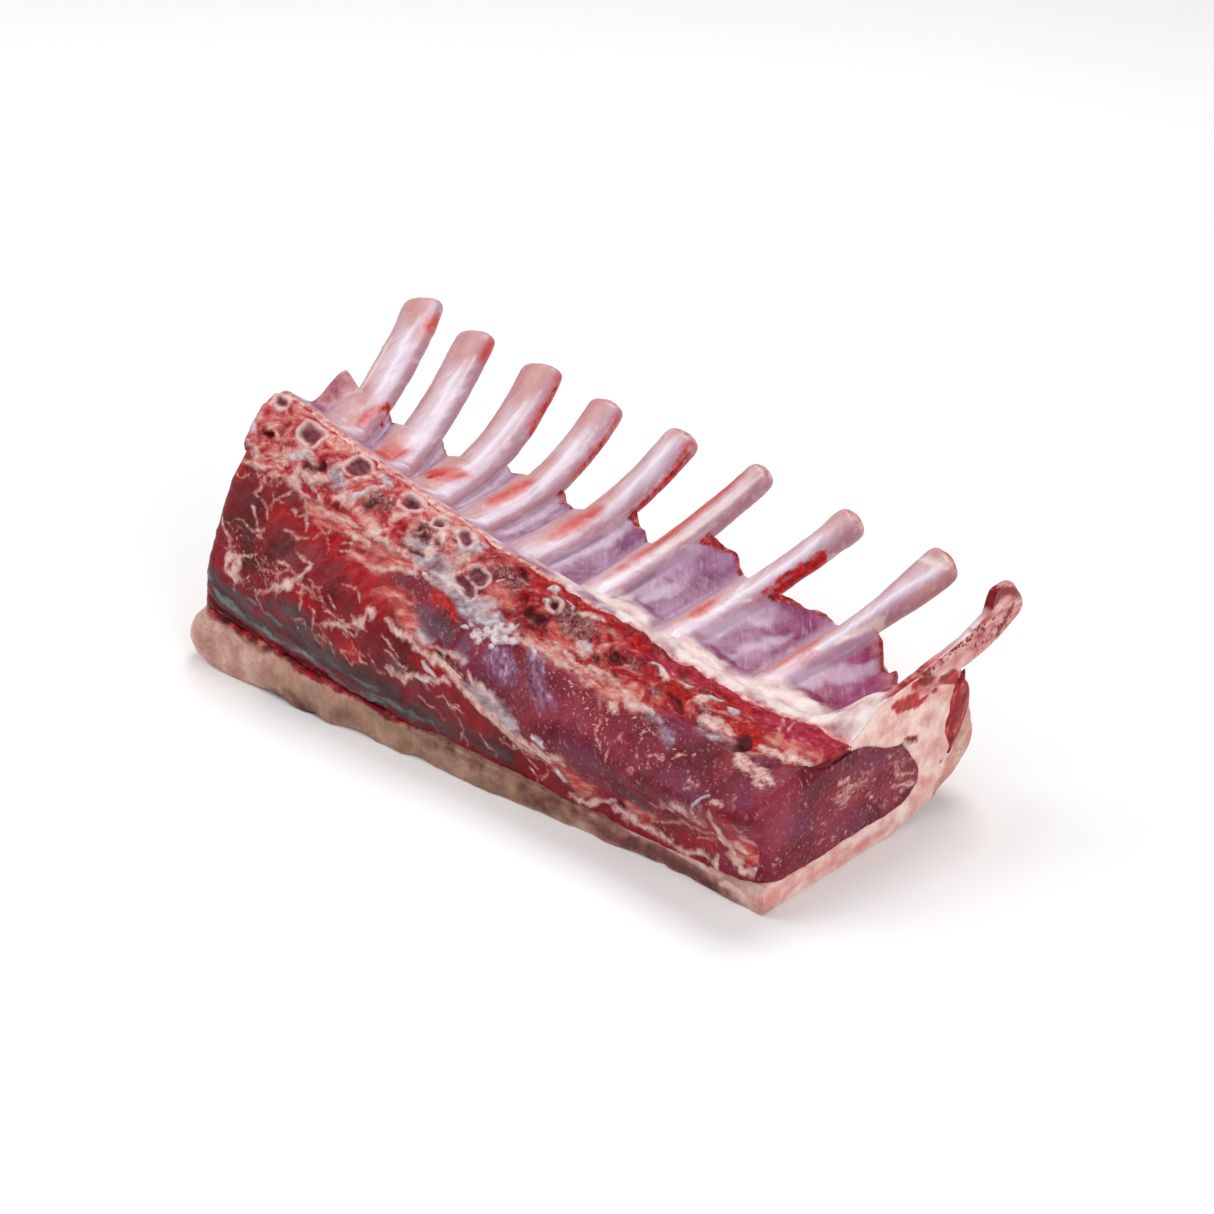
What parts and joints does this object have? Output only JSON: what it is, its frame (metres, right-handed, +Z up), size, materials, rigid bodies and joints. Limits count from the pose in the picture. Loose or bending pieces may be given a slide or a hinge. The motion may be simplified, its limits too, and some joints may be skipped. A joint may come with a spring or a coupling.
{
  "type": "raw rack of lamb",
  "caption": "Raw frenched rack of lamb lying on its fat cap, a long joint of meat with the sawn chine along its upper edge and bare rib bones curving up and away behind.",
  "frame": {"origin": "middle of the base, on the surface that the fat cap lies on", "axes": "+X along the backbone from the shoulder end to the loin end, +Y out along the ribs, +Z up"},
  "size_m": [0.2078, 0.1139, 0.0764],
  "materials": {
    "fat": "moist satin",
    "red_meat": "wet",
    "dark_meat": "wet",
    "membrane": "wet",
    "sawn_bone": "moist, rough",
    "rib_bone": "wet"
  },
  "bodies": {
    "root": {"fat_cap": "fat", "flank_strip": "dark_meat", "shoulder_muscle": "red_meat", "loin_eye": "dark_meat", "chest_wall": "membrane", "chine": "sawn_bone", "rib_1": "rib_bone", "rib_2": "rib_bone", "rib_3": "rib_bone", "rib_4": "rib_bone", "rib_5": "rib_bone", "rib_6": "rib_bone", "rib_7": "rib_bone", "rib_8": "rib_bone", "rib_9": "rib_bone"}
  },
  "joints": []
}
